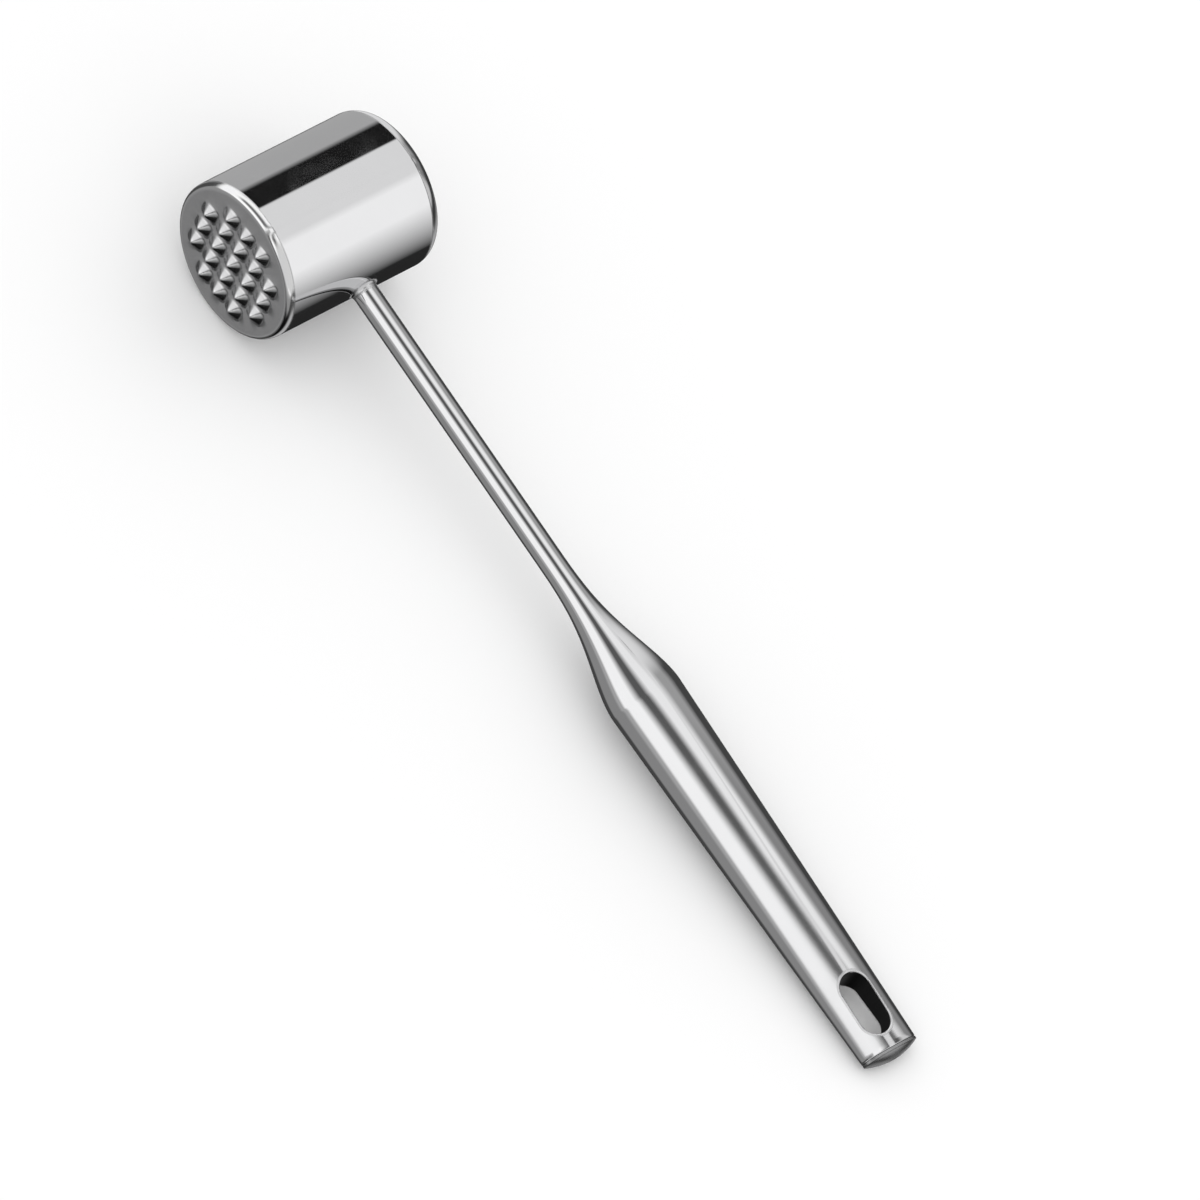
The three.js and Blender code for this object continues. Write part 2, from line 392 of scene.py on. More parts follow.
def grip_ring(station, at=None, inset=0.0, scale=1.0, steps=160):
    """Points round the grip's outline at a station, placed at another if asked."""
    half_width, half_thickness, squareness = grip_section(station)
    ring = []
    for i in range(steps):
        turn = math.tau * i / steps
        c, s = math.cos(turn), math.sin(turn)
        across = math.copysign(abs(c) ** (2 / squareness), c) * (half_width - inset) * scale
        up = math.copysign(abs(s) ** (2 / squareness), s) * (half_thickness - inset) * scale
        ring.append((station if at is None else at, across, up))
    return ring


def grip_height(station, across):
    """Height of the grip's upper surface over a point."""
    half_width, half_thickness, squareness = grip_section(station)
    return half_thickness * (1 - min(abs(across / half_width), 1.0) ** squareness) ** (1 / squareness)


def slot_outline(offset, steps=32):
    """Points round the hang slot, moved out by an offset."""
    s = bpy.context.scene.mallet_handle
    radius = s.slot_width / 2 + offset
    straight = (s.slot_length - s.slot_width) / 2
    points = []
    for side, start in ((1, -math.pi / 2), (-1, math.pi / 2)):
        for i in range(steps + 1):
            turn = start + math.pi * i / steps
            points.append(
                (SLOT_AT + side * straight + radius * math.cos(turn), radius * math.sin(turn))
            )
    return points


# ---- Shader graph ----


class Value:
    """A number on a socket. Arithmetic on it adds Math nodes to its graph."""

    def __init__(self, graph, socket):
        self.graph = graph
        self.socket = socket

    def math(self, operation, *others):
        inputs = {i: other for i, other in enumerate((self, *others))}
        node = self.graph.add("ShaderNodeMath", {"operation": operation}, inputs)
        return Value(self.graph, node.outputs[0])

    def __add__(self, other):
        return self.math("ADD", other)

    __radd__ = __add__

    def __sub__(self, other):
        return self.math("SUBTRACT", other)

    def __rsub__(self, other):
        return (self * -1.0) + other

    def __mul__(self, other):
        return self.math("MULTIPLY", other)

    __rmul__ = __mul__

    def __truediv__(self, other):
        return self.math("DIVIDE", other)

    def size(self):
        return self.math("ABSOLUTE")

    def step(self, low, high):
        """Goes smoothly from 0 at low to 1 at high."""
        inputs = {"Value": self, "From Min": low, "From Max": high}
        node = self.graph.add("ShaderNodeMapRange", {"interpolation_type": "SMOOTHSTEP"}, inputs)
        return Value(self.graph, node.outputs["Result"])


class Graph:
    """Adds nodes to one material or world."""

    def __init__(self, owner):
        owner.use_nodes = True
        self.tree = owner.node_tree
        self.tree.nodes.clear()

    def add(self, kind, settings=None, inputs=None):
        """A node of that type: its settings are set first, then the values or links of its sockets."""
        node = self.tree.nodes.new(kind)
        for key, value in (settings or {}).items():
            if key == "stops":
                while len(node.color_ramp.elements) < len(value):
                    node.color_ramp.elements.new(0.5)
                for element, (place, grey) in zip(node.color_ramp.elements, value):
                    element.position = place
                    element.color = (grey, grey, grey, 1.0)
            elif key == "blend":
                node.color_ramp.interpolation = value
            else:
                setattr(node, key, value)
        for key, value in (inputs or {}).items():
            if isinstance(value, Value):
                value = value.socket
            if isinstance(value, bpy.types.NodeSocket):
                self.tree.links.new(value, node.inputs[key])
            else:
                node.inputs[key].default_value = value
        return node

    def value(self, kind, settings, inputs, output=0):
        """The number that a node gives."""
        return Value(self, self.add(kind, settings, inputs).outputs[output])

    def axes(self, vector):
        """A vector's three numbers."""
        split = self.add("ShaderNodeSeparateXYZ", None, {0: vector})
        return [Value(self, output) for output in split.outputs]

    def place(self):
        """The point on the piece, in the mallet's own frame."""
        point = self.add("ShaderNodeTexCoord").outputs["Object"]
        inputs = {"Vector": point, "Location": LYING.translation, "Rotation": LYING.to_euler()}
        return self.add("ShaderNodeMapping", {"vector_type": "TEXTURE"}, inputs).outputs[0]

    def unrotated(self, direction):
        """A direction as the mallet's own frame sees it."""
        inputs = {"Vector": direction, "Rotation": LYING.to_euler()}
        return self.add("ShaderNodeMapping", {"vector_type": "TEXTURE"}, inputs).outputs[0]

    def stretched(self, scales):
        """The point with each axis scaled, so that a texture is drawn out along one."""
        inputs = {0: self.place(), 1: scales}
        return self.add("ShaderNodeVectorMath", {"operation": "MULTIPLY"}, inputs).outputs[0]

    def noise(self, vector, scale=1.0, detail=2.0, roughness=0.5):
        """Smooth noise from 0 to 1."""
        inputs = {"Vector": vector, "Scale": scale, "Detail": detail, "Roughness": roughness}
        return self.value("ShaderNodeTexNoise", None, inputs, "Fac")

    def tinted(self, color, amount, low, high):
        """The colour, multiplied from low to high as the amount goes from 0 to 1."""
        dark = (color[0] * low, color[1] * low, color[2] * low, 1.0)
        light = (color[0] * high, color[1] * high, color[2] * high, 1.0)
        inputs = {"Factor": amount, 6: dark, 7: light}
        return self.add("ShaderNodeMix", {"data_type": "RGBA"}, inputs).outputs[2]

    def steel(self, color, roughness, bump=None, depth=0.0, distance=0.02 * MM):
        """Metal of that colour and roughness, with a bump."""
        inputs = {"Base Color": color, "Metallic": 1.0, "Roughness": roughness}
        if bump is not None:
            settings = {"Strength": depth, "Distance": distance, "Height": bump}
            inputs["Normal"] = self.add("ShaderNodeBump", None, settings).outputs[0]
        shader = self.add("ShaderNodeBsdfPrincipled", None, inputs)
        self.add("ShaderNodeOutputMaterial", None, {"Surface": shader.outputs[0]})


def barrel_finish():
    """Mirror polish with faint lines round the barrel and the haze of handling."""
    finish = bpy.context.scene.mallet_finish
    material = bpy.data.materials.new("barrel_mirror_polish")
    graph = Graph(material)
    haze = graph.noise(graph.place(), 90.0, 3.0)
    lines = graph.noise(graph.stretched((60.0, 9000.0, 60.0)), 1.0, 2.0)
    roughness = finish.barrel_roughness + haze.step(0.45, 0.8) * 0.03 + lines * 0.01
    color = graph.tinted(finish.barrel_steel, haze, 0.97, 1.02)
    graph.steel(color, roughness, lines, finish.scratch_depth * 0.15)
    return material


def studded_finish():
    """Satin cast steel whose stud tips and outer rim are polished, with a painted highlight lifting their
    colour and painted shade darkening the studs' flanks.
    """
    finish = bpy.context.scene.mallet_finish
    head = bpy.context.scene.mallet_head
    material = bpy.data.materials.new("studded_cast_satin")
    graph = Graph(material)
    x, y, z = graph.axes(graph.place())
    radius = (x * x + z * z).math("SQRT")
    rim = radius.step(HEAD_RADIUS - head.studded_round * 1.7, HEAD_RADIUS - head.studded_round * 0.9)
    height = y * -1.0 - (STUD_TIPS_AT * -1.0 - head.stud_height)
    # Stud tips: real polish lowers the roughness, and in the colour this mask is a painted highlight.
    tip_polish_and_highlight = height.step(head.stud_height * 0.55, head.stud_height * 1.0)
    # Painted shade: the studs' flanks are darkened between foot and tip.
    flank = height.step(head.stud_height * 0.1, head.stud_height * 0.35) * (1 - tip_polish_and_highlight)
    grain = graph.noise(graph.place(), 2600.0, 3.0, 0.6)
    cloud = graph.noise(graph.place(), 160.0, 3.0)
    # Rim and tips: real polish in the roughness, a painted highlight in the colour.
    polish = rim.math("MAXIMUM", tip_polish_and_highlight * 0.6)
    roughness = finish.cast_roughness + (grain - 0.5) * 0.12 - polish * (finish.cast_roughness - 0.14)
    # The colour is lifted at the rim and tips as painted highlight and lowered on the flanks as painted
    # shade.
    color = graph.tinted(finish.cast_steel, 0.25 + cloud * 0.4 + polish * 0.5 - flank * 0.6, 0.85, 1.16)
    graph.steel(color, roughness, grain * (1 - polish), 0.25)
    return material


def striking_finish():
    """Polished plate with faint turning rings and the fine scuffs of use."""
    finish = bpy.context.scene.mallet_finish
    material = bpy.data.materials.new("striking_face_polish")
    graph = Graph(material)
    x, y, z = graph.axes(graph.place())
    radius = (x * x + z * z).math("SQRT")
    rings = (radius * (math.tau / (0.35 * MM))).math("SINE") * 0.5 + 0.5
    scuffs = graph.noise(graph.stretched((2400.0, 300.0, 500.0)), 1.0, 4.0, 0.7)
    roughness = 0.1 + rings * 0.03 + scuffs.step(0.55, 0.75) * 0.08
    color = graph.tinted(finish.striking_steel, scuffs, 0.95, 1.03)
    graph.steel(color, roughness, rings * 0.6 + scuffs * 0.4, finish.scratch_depth)
    return material


def handle_finish():
    """Polish with fine lines along the handle."""
    finish = bpy.context.scene.mallet_finish
    material = bpy.data.materials.new("handle_lengthwise_polish")
    graph = Graph(material)
    lines = graph.noise(graph.stretched((25.0, 5200.0, 5200.0)), 1.0, 3.0, 0.6)
    haze = graph.noise(graph.place(), 70.0, 3.0)
    roughness = finish.handle_roughness + lines * 0.015 + haze.step(0.5, 0.85) * 0.02
    color = graph.tinted(finish.handle_steel, haze, 0.97, 1.02)
    graph.steel(color, roughness, lines, finish.scratch_depth)
    return material


def weld_finish():
    """Satin of a hand-blended weld that runs out into the handle's polish."""
    finish = bpy.context.scene.mallet_finish
    material = bpy.data.materials.new("weld_blended_satin")
    graph = Graph(material)
    x, y, z = graph.axes(graph.place())
    ripple = graph.noise(graph.stretched((900.0, 300.0, 300.0)), 1.0, 3.0)
    climb = x.step(HEAD_RADIUS, HEAD_RADIUS + 4 * MM)
    color = graph.tinted(finish.handle_steel, ripple, 0.9, 1.0)
    roughness = 0.24 - climb * 0.1 + ripple * 0.04
    graph.steel(color, roughness, ripple, 0.05)
    return material


def slot_finish():
    """Unpolished wall inside the slot, its steel painted near-black as shade inside the hole, with a bright
    lip flush with the grip's faces.
    """
    finish = bpy.context.scene.mallet_finish
    handle = bpy.context.scene.mallet_handle
    material = bpy.data.materials.new("slot_wall_and_lip")
    graph = Graph(material)
    x, y, z = graph.axes(graph.place())
    flare_end = handle.neck_reach + handle.flare_length
    along = (x - flare_end) / (handle.grip_reach - flare_end)
    thinned = along.math("POWER", handle.thinning_lag)
    half = (1 - thinned) * (handle.grip_thickness / 2) + thinned * (handle.end_thickness / 2)
    lip = (half - z.size()).step(handle.lip_round * 2.0, handle.lip_round * 1.2)
    drawn = graph.noise(graph.stretched((1500.0, 1500.0, 90.0)), 1.0, 3.0)
    # Painted shade: the wall's near-black colour stands for the shadow inside the slot.
    dark = graph.tinted(finish.slot_steel, drawn, 0.7, 1.3)
    light = (*finish.handle_steel, 1.0)
    mixed = graph.add("ShaderNodeMix", {"data_type": "RGBA"}, {"Factor": lip, 6: dark, 7: light})
    roughness = 0.45 + drawn * 0.15 - lip * 0.38
    graph.steel(mixed.outputs[2], roughness, drawn * (1 - lip), 0.2)
    return material


def cap_finish():
    """Satin end cap with a faint cloud, its steel darkened as painted shade."""
    finish = bpy.context.scene.mallet_finish
    material = bpy.data.materials.new("end_cap_satin")
    graph = Graph(material)
    grain = graph.noise(graph.stretched((2000.0, 500.0, 2000.0)), 1.0, 3.0)
    cloud = graph.noise(graph.place(), 260.0, 2.0)
    # Painted shade: the cap colour is darkened steel.
    color = graph.tinted(finish.cap_steel, cloud, 0.88, 1.1)
    graph.steel(color, 0.2 + grain * 0.12, grain, 0.12)
    return material


def inner_finish():
    """As-turned steel of the boss inside the head."""
    finish = bpy.context.scene.mallet_finish
    material = bpy.data.materials.new("boss_turned")
    graph = Graph(material)
    rings = graph.noise(graph.stretched((5000.0, 200.0, 200.0)), 1.0, 2.0)
    color = graph.tinted(finish.inner_steel, rings, 0.85, 1.1)
    graph.steel(color, 0.35 + rings * 0.15, rings, 0.3)
    return material


# ---- Operators ----


class MALLET_OT_head_barrel(bpy.types.Operator):
    """Build the polished round wall of the head, with its cross hole for the stem"""

    bl_idname = "mallet.head_barrel"
    bl_label = "Head Barrel"

    def execute(self, context):
        head = context.scene.mallet_head
        bore = HEAD_RADIUS - head.barrel_wall
        first = STUD_TIPS_AT + head.stud_height + head.studded_rim + head.seam
        last = SMOOTH_FACE_AT - head.smooth_rim - head.seam
        corners = [
            (bore, first, head.edge_round),
            (HEAD_RADIUS, first, head.edge_round),
            (HEAD_RADIUS, last, head.edge_round),
            (bore, last, head.edge_round),
        ]
        profile = rounded(corners)
        wall = turned(stretched(profile + profile[:1], 1.5 * MM)[:-1], "Y", closed=True)
        hole = turned([(STEM_RADIUS, 0.0), (STEM_RADIUS, HEAD_RADIUS * 1.3)], "X", steps=96)
        finished("head_barrel_wall", wall, "head_barrel", barrel_finish(), [hole])
        return {"FINISHED"}


STUD_ROWS = 5
CELL_STEPS = 36  # edges across one stud's square of the face


def stud_height_at(a, b):
    """Height of the studded surface at a point measured from the nearest stud's middle."""
    head = bpy.context.scene.mallet_head
    edge_round = 3.0  # exponent of the rounded square; higher is sharper
    flank_bow = 0.85  # below 1 the flanks are hollow
    reach = (abs(a) ** edge_round + abs(b) ** edge_round) ** (1 / edge_round)
    half_base, half_tip = head.stud_base / 2, head.stud_tip / 2
    down = max(reach - half_tip, 0.0) / (half_base - half_tip)
    flank = head.stud_height * (1 - down**flank_bow)
    tip_round, root_round = 0.7 * MM, 0.35 * MM
    return soft_least(soft_most(flank, 0.0, root_round), head.stud_height, tip_round)


def soft_least(a, b, blend):
    """The lesser of two heights, rounded where they meet."""
    overlap = max(blend - abs(a - b), 0.0)
    return min(a, b) - overlap * overlap / (4 * blend)


def soft_most(a, b, blend):
    """The greater of two heights, rounded where they meet."""
    return -soft_least(-a, -b, blend)


def face_grid():
    """The grid squares that belong to studs, and their corner points as {(row, column): (along, across)}."""
    pitch = bpy.context.scene.mallet_head.stud_pitch
    half = STUD_ROWS / 2
    step = pitch / CELL_STEPS
    steps = STUD_ROWS * CELL_STEPS
    corner = CELL_STEPS

    def held(i, j):
        """Whether a grid square belongs to a stud: the four corner studs are left out."""
        at_end = [k < corner or k >= steps - corner for k in (i, j)]
        return 0 <= i < steps and 0 <= j < steps and not all(at_end)

    squares = [(i, j) for i in range(steps) for j in range(steps) if held(i, j)]
    points = {}
    for i, j in squares:
        for k in ((i, j), (i + 1, j), (i + 1, j + 1), (i, j + 1)):
            points[k] = (k[0] * step - half * pitch, k[1] * step - half * pitch)
    return squares, points


class MALLET_OT_studded_face(bpy.types.Operator):
    """Build the striking plate with its grid of blunt pyramid studs and its rounded rim"""

    bl_idname = "mallet.studded_face"
    bl_label = "Studded Face"

    def execute(self, context):
        head = context.scene.mallet_head
        face_at = STUD_TIPS_AT + head.stud_height
        pitch = head.stud_pitch
        turn = head.stud_turn
        squares, points = face_grid()
        mesh = bmesh.new()
        grid = {}
        for key, (a, b) in points.items():
            rise = stud_height_at(a - pitch * round(a / pitch), b - pitch * round(b / pitch))
            x = a * math.cos(turn) - b * math.sin(turn)
            z = a * math.sin(turn) + b * math.cos(turn)
            grid[key] = mesh.verts.new((x, face_at - rise, z))
        for i, j in squares:
            corners = (grid[i, j], grid[i + 1, j], grid[i + 1, j + 1], grid[i, j + 1])
            mesh.faces.new(corners)
        rim_loop = [v for v in mesh.verts if v.is_boundary]
        rim_loop.sort(key=lambda v: math.atan2(v.co.z, v.co.x))
        turns = [math.atan2(v.co.z, v.co.x) for v in rim_loop]
        spigot = HEAD_RADIUS - head.barrel_wall - 0.3 * MM
        back = face_at + head.studded_rim
        bead = rim_bead(back, face_at, head.studded_round, head.rim_lean)
        profile = [
            Vector((spigot * 0.98, face_at)),
            *reversed(bead),
            Vector((spigot, back)),
            Vector((spigot, STUDDED_SPIGOT_AT - head.edge_round)),
            Vector((spigot - head.edge_round, STUDDED_SPIGOT_AT)),
            Vector((spigot * 0.5, STUDDED_SPIGOT_AT)),
        ]
        last = rim_loop
        for across, along in profile:
            ring = [
                mesh.verts.new((across * math.cos(t), along, across * math.sin(t))) for t in turns
            ]
            for i in range(len(ring)):
                j = (i + 1) % len(ring)
                mesh.faces.new((last[i], last[j], ring[j], ring[i]))
            last = ring
        hub = mesh.verts.new((0.0, last[0].co.y, 0.0))
        for i in range(len(last)):
            mesh.faces.new((last[i], last[(i + 1) % len(last)], hub))
        bmesh.ops.recalc_face_normals(mesh, faces=mesh.faces)
        finished("studded_striking_plate", mesh, "studded_face", studded_finish())
        return {"FINISHED"}


class MALLET_OT_smooth_face(bpy.types.Operator):
    """Build the plain striking plate with its rounded rim"""

    bl_idname = "mallet.smooth_face"
    bl_label = "Smooth Face"

    def execute(self, context):
        head = context.scene.mallet_head
        spigot = HEAD_RADIUS - head.barrel_wall - 0.3 * MM
        back = SMOOTH_FACE_AT - head.smooth_rim
        middle = 0.4 * MM
        profile = [
            Vector((middle, SMOOTH_SPIGOT_AT)),
            Vector((spigot - head.edge_round, SMOOTH_SPIGOT_AT)),
            Vector((spigot, SMOOTH_SPIGOT_AT + head.edge_round)),
            Vector((spigot, back)),
            *rim_bead(back, SMOOTH_FACE_AT, head.smooth_round, head.rim_lean),
            Vector((middle, SMOOTH_FACE_AT)),
        ]
        plate = turned(profile, "Y")
        finished("smooth_striking_plate", plate, "smooth_face", striking_finish())
        return {"FINISHED"}


class MALLET_OT_stem(bpy.types.Operator):
    """Build the stem and the polished weld that blends it into the barrel"""

    bl_idname = "mallet.stem"
    bl_label = "Stem and Weld"

    def execute(self, context):
        handle = context.scene.mallet_handle
        steel_finish = handle_finish()
        seat = (LYING.inverted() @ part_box("stem_rod")[0]).x
        tenon = (2.5 * MM, handle.neck_reach + 14 * MM)
        profile = [
            Vector((0.3 * MM, seat)),
            Vector((STEM_RADIUS, seat)),
            Vector((STEM_RADIUS, handle.neck_reach)),
            Vector((tenon[0], handle.neck_reach)),
            Vector(tenon),
            Vector((0.3 * MM, tenon[1])),
        ]
        rod = turned(stretched(profile, 4 * MM), "X", steps=96)
        finished("stem_polished_rod", rod, "stem_rod", steel_finish)
        finished("neck_weld_fillet", weld_fillet(handle), "neck_weld", weld_finish())
        return {"FINISHED"}


def weld_fillet(handle, round_steps=128, flank_steps=14):
    """A saddle ring whose flank is tangent to the barrel below and to the stem above."""
    foot = STEM_RADIUS + handle.weld_spread
    lift = 0.015 * MM
    top = HEAD_RADIUS + handle.weld_rise
    rings = [[] for _ in range(flank_steps + 3)]
    for i in range(round_steps):
        turn = math.tau * i / round_steps
        c, s = math.cos(turn), math.sin(turn)

        def on_barrel(reach):
            level = math.sqrt(HEAD_RADIUS**2 - (reach * s) ** 2)
            return Vector((level + lift, reach * c, reach * s))

        start, bend = on_barrel(foot), on_barrel(STEM_RADIUS + lift)
        end = Vector((top, bend.y, bend.z))
        for k in range(flank_steps + 1):
            t = k / flank_steps
            rings[k].append(start * (1 - t) ** 2 + bend * 2 * t * (1 - t) + end * t * t)
        under = Vector((bend.x - 0.6 * MM, bend.y * 0.9, bend.z * 0.9))
        rings[flank_steps + 1].append(Vector((top, bend.y * 0.9, bend.z * 0.9)))
        rings[flank_steps + 2].append(under)
    return skinned(rings, closed_rings=True)


class MALLET_OT_grip(bpy.types.Operator):
    """Build the hollow grip, the liner of its hang slot and its domed end cap"""

    bl_idname = "mallet.grip"
    bl_label = "Grip"

    def execute(self, context):
        handle = context.scene.mallet_handle
        finished(
            "grip_swaged_shell",
            grip_shell(handle),
            "grip_shell",
            bpy.data.materials["handle_lengthwise_polish"],
            [slot_cutter(handle)],
        )
        finished("hang_slot_lined_wall", slot_liner(handle), "hang_slot_liner", slot_finish())
        finished("grip_domed_end_cap", end_cap(handle), "grip_end_cap", cap_finish())
        return {"FINISHED"}


def grip_shell(handle, rings_count=220):
    """The grip's outside, its rounded end and its hollow."""
    start = handle.neck_reach
    step = (handle.grip_reach - start) / rings_count
    edge = 0.22 * MM
    rings = [grip_ring(start + i * step) for i in range(rings_count)]
    rings.append(grip_ring(handle.grip_reach, at=handle.grip_reach - edge))
    for k in range(1, ARC_STEPS + 1):
        turn = math.pi / 2 * k / ARC_STEPS
        inset = edge * (1 - math.cos(turn))
        at = handle.grip_reach - edge * (1 - math.sin(turn))
        rings.append(grip_ring(handle.grip_reach, at=at, inset=inset))
    rings.append(grip_ring(handle.grip_reach, inset=handle.grip_wall))
    inner_from = start + 14 * MM
    for i in range(12, -1, -1):
        station = mix(inner_from, handle.grip_reach - 1 * MM, i / 12)
        rings.append(grip_ring(station, inset=handle.grip_wall))
    rings.append(grip_ring(start, at=inner_from, inset=STEM_RADIUS - 2.55 * MM))
    rings.append(grip_ring(start, inset=STEM_RADIUS - 2.55 * MM))
    return skinned(rings, closed_rings=True)


def slot_cutter(handle):
    """A bar through the grip, a hair wider than the liner."""
    plan = slot_outline(handle.liner_wall + 0.02 * MM)
    return skinned([[(x, y, z) for x, y in plan] for z in (-20 * MM, 20 * MM)])


def slot_liner(handle):
    """A tube of the slot's outline whose rounded lips lie flush with the grip's two faces."""
    rings = []
    lip = handle.lip_round
    offsets = [(handle.liner_wall, 0.0), (lip + HOLD, 0.0)]
    for k in range(ARC_STEPS + 1):
        turn = math.pi / 2 * k / ARC_STEPS
        offsets.append((lip * (1 - math.sin(turn)), lip * (1 - math.cos(turn))))
    offsets.append((0.0, lip + HOLD))
    for side in (1, -1):
        for offset, drop in offsets if side == 1 else reversed(offsets):
            ring = [(x, y, side * (grip_height(x, y) - drop)) for x, y in slot_outline(offset)]
            rings.append(ring)
    return skinned(rings, closed_rings=True)


def end_cap(handle, dome_steps=14):
    """A low dome with a rounded rim, and a spigot that enters the grip."""
    base = handle.grip_reach + handle.cap_gap
    edge = 0.25 * MM
    inner = handle.grip_reach - 2 * MM
    station = handle.grip_reach
    rings = [
        grip_ring(station, at=inner, inset=handle.grip_wall + 0.1 * MM),
        grip_ring(station, at=base, inset=handle.grip_wall + 0.1 * MM),
        grip_ring(station, at=base, inset=0.1 * MM),
        grip_ring(station, at=base + 0.1 * MM),
    ]
    top = handle.grip_reach + 0.3 * MM + handle.cap_rim
    rings.append(grip_ring(station, at=top - edge))
    for k in range(1, ARC_STEPS + 1):
        turn = math.pi / 2 * k / ARC_STEPS * 0.7
        at = top - edge + edge * math.sin(turn)
        rings.append(grip_ring(station, at=at, inset=edge * (1 - math.cos(turn))))
    rest = edge * (1 - math.cos(math.pi / 2 * 0.7))
    for k in range(1, dome_steps + 1):
        scale = 1 - 0.97 * k / dome_steps
        rise = handle.cap_dome * (1 - scale**2)
        rings.append(grip_ring(station, at=top + rise, inset=rest, scale=scale))
    return skinned(rings)


class MALLET_OT_inner(bpy.types.Operator):
    """Give the boss inside the head its as-turned steel"""

    bl_idname = "mallet.inner"
    bl_label = "Inner Boss"

    def execute(self, context):
        boss = frame["nodes"]["stem_boss"]
        boss.data.materials.clear()
        boss.data.materials.append(inner_finish())
        return {"FINISHED"}


# The studio's cards as the head mirrors them: from and to, in degrees round the head's line, and brightness.
# 0 looks along the handle and 90 up. Between two cards the light runs evenly.
HEAD_CARDS = [
    (-180, -125, 0.4),
    (-110, -45, 0.02),
    (25, 65, 0.95),
    (75, 125, 0.75),
    (128, 161, 0.01),
    (170, 180, 0.4),
]

# The cards as the handle mirrors them, round the handle's line. 0 looks towards the smooth face's side.
HANDLE_CARDS = [
    (-180, -175, 0.4),
    (-165, -120, 0.25),
    (-110, 5, 0.06),
    (25, 45, 0.35),
    (65, 83, 0.9),
    (98, 112, 0.1),
    (132, 168, 1.0),
    (177, 180, 0.4),
]


def panels(graph, sideways, upwards, cards, skewed=0.0, stretched=1.0, about=0.0):
    """Brightness by the angle of a direction round one line, skewed and stretched about an angle."""
    turn = graph.value("ShaderNodeMath", {"operation": "ARCTAN2"}, {0: upwards, 1: sideways})
    beside = ((turn + (skewed - about)) / math.tau + 0.5).math("FRACT") - 0.5
    held = (beside * stretched).math("MAXIMUM", -0.5).math("MINIMUM", 0.5)
    place = (held + (about / math.tau + 0.5)).math("FRACT")
    edges = [(edge, light) for low, high, light in cards for edge in (low, high)]
    stops = [((degrees + 180) / 360, light) for degrees, light in edges]
    return graph.value("ShaderNodeValToRGB", {"stops": stops}, {"Fac": place}, "Color")


def blended(low, high, share):
    """Goes from one number to another as the share goes from 0 to 1."""
    return low + (high - low) * share


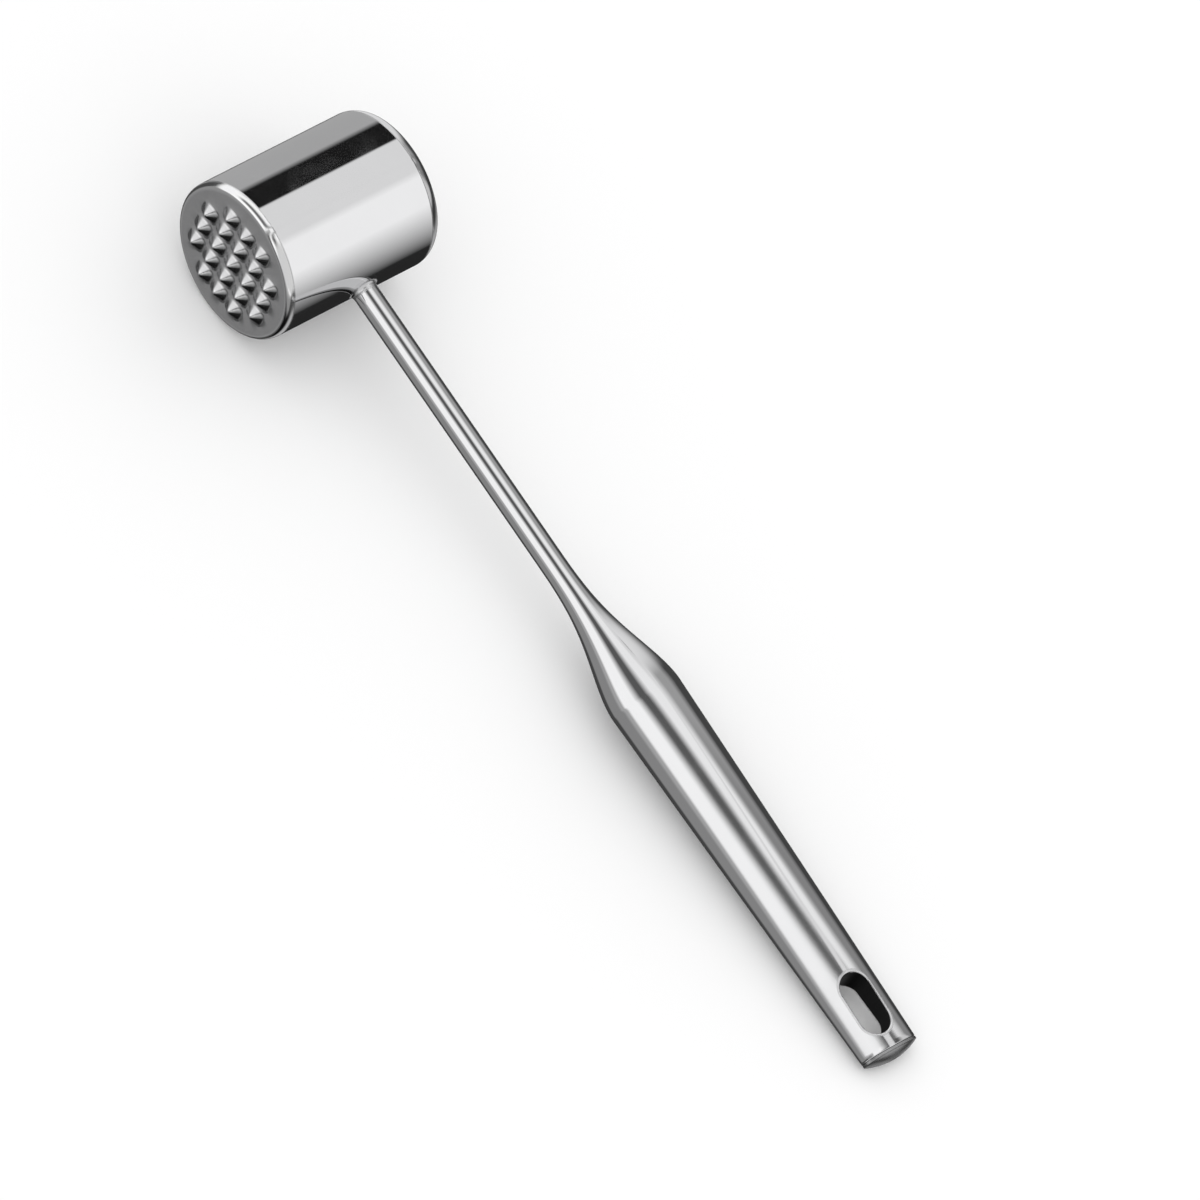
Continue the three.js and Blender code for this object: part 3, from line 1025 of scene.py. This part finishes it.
class MALLET_OT_stage(bpy.types.Operator):
    """Set up the floor, the studio light and the camera"""

    bl_idname = "mallet.stage"
    bl_label = "Stage"

    def execute(self, context):
        settings = context.scene.mallet_stage
        context.scene.view_settings.view_transform = "Standard"
        self.floor(context, settings)
        self.studio(context, settings)
        self.camera(context, settings)
        return {"FINISHED"}

    def floor(self, context, settings):
        mesh = bmesh.new()
        bmesh.ops.create_circle(mesh, cap_ends=True, radius=12.0, segments=96)
        data = bpy.data.meshes.new("table_top")
        mesh.to_mesh(data)
        mesh.free()
        floor = bpy.data.objects.new("table_top", data)
        context.scene.collection.objects.link(floor)
        material = bpy.data.materials.new("table_white")
        graph = Graph(material)
        white = settings.floor_white
        inputs = {"Base Color": (white, white, white, 1.0), "Roughness": 0.7}
        shader = graph.add("ShaderNodeBsdfPrincipled", None, inputs)
        graph.add("ShaderNodeOutputMaterial", None, {"Surface": shader.outputs[0]})
        data.materials.append(material)
        floor.visible_glossy = False

    def studio(self, context, settings):
        world = bpy.data.worlds.new("studio")
        context.scene.world = world
        graph = Graph(world)
        direction = graph.add("ShaderNodeTexCoord").outputs["Generated"]
        x, y, z = graph.axes(graph.unrotated(direction))
        ahead = (x + 0.18).math("MAXIMUM", 0.0).math("MINIMUM", 0.14) * (1 - x.step(0.0, 0.2)) / 0.12
        skew = ahead.math("POWER", 2.2) * math.radians(36.0)
        spread = 1 + ahead.math("POWER", 3.2) * 0.55
        head_light = panels(graph, x, z, HEAD_CARDS)
        handle_light = panels(graph, y, z, HANDLE_CARDS, skew, spread, math.radians(108.0))
        below = x.step(0.1, 0.35) * (z * -1.0).step(0.35, 0.6) * (1 - y.step(0.0, 0.2))
        under_end = x.step(0.0, 0.12) * (z * -1.0).step(0.2, 0.6) * y.step(0.1, 0.3)
        grip_end = x.step(0.2, 0.4) * z.step(0.0, 0.2)
        head_end = (x * -1.0).step(0.78, 0.92) * z.step(-0.25, -0.05)
        beyond = (x * -1.0).step(0.28, 0.5) * y.step(0.35, 0.6)
        far = y.step(0.6, 0.75) * x.step(-0.14, -0.1)
        handle_light = handle_light * (1 - below * 0.97) * (1 - far * 0.3)
        handle_light = blended(handle_light, 0.4, under_end)
        handle_light = blended(handle_light, 0.6, grip_end)
        handle_light = blended(handle_light, 0.92, head_end)
        handle_light = blended(handle_light, 0.78, beyond)
        on_head = 1 - (y - 0.53).size().step(0.016, 0.026)
        mirrored = blended(handle_light, head_light, on_head)
        glossy = Value(graph, graph.add("ShaderNodeLightPath").outputs["Is Glossy Ray"])
        light = mirrored * glossy + (1 - glossy) * settings.room_light
        background = graph.add("ShaderNodeBackground", None, {"Color": light, "Strength": 1.0})
        graph.add("ShaderNodeOutputWorld", None, {"Surface": background.outputs[0]})

    def camera(self, context, settings):
        data = bpy.data.cameras.new("camera")
        data.lens = settings.lens
        data.sensor_width = 36.0
        data.clip_end = 50.0
        camera = bpy.data.objects.new("camera", data)
        context.scene.collection.objects.link(camera)
        e = settings.elevation
        a = settings.azimuth
        back = Vector((math.sin(a) * math.cos(e), -math.cos(a) * math.cos(e), math.sin(e)))
        aim = LYING @ Vector(AIM)
        facing = (-back).to_track_quat("-Z", "Y").to_matrix().to_4x4()
        lean = Matrix.Rotation(settings.roll, 4, "Z")
        camera.matrix_world = Matrix.Translation(aim + back * settings.distance) @ facing @ lean
        context.scene.camera = camera



class MALLET_PT_panel(bpy.types.Panel):
    """Lists the mallet's builders"""

    bl_label = "Mallet"
    bl_idname = "MALLET_PT_panel"
    bl_space_type = "VIEW_3D"
    bl_region_type = "UI"
    bl_category = "Mallet"

    def draw(self, context):
        for builder in BUILDERS:
            self.layout.operator(builder.bl_idname)


SETTINGS = {
    "mallet_head": MalletHeadSettings,
    "mallet_handle": MalletHandleSettings,
    "mallet_finish": MalletFinishSettings,
    "mallet_stage": MalletStageSettings,
}
BUILDERS = [
    MALLET_OT_stage,
    MALLET_OT_head_barrel,
    MALLET_OT_studded_face,
    MALLET_OT_smooth_face,
    MALLET_OT_stem,
    MALLET_OT_grip,
    MALLET_OT_inner,
]


def register():
    for settings in SETTINGS.values():
        bpy.utils.register_class(settings)
    for name, settings in SETTINGS.items():
        setattr(bpy.types.Scene, name, bpy.props.PointerProperty(type=settings))
    for cls in (*BUILDERS, MALLET_PT_panel):
        bpy.utils.register_class(cls)


def unregister():
    for cls in (MALLET_PT_panel, *reversed(BUILDERS)):
        bpy.utils.unregister_class(cls)
    for name in SETTINGS:
        delattr(bpy.types.Scene, name)
    for settings in SETTINGS.values():
        bpy.utils.unregister_class(settings)


def main():
    register()
    for builder in BUILDERS:
        group, operator = builder.bl_idname.split(".")
        getattr(getattr(bpy.ops, group), operator)()


if __name__ == "__main__":
    main()
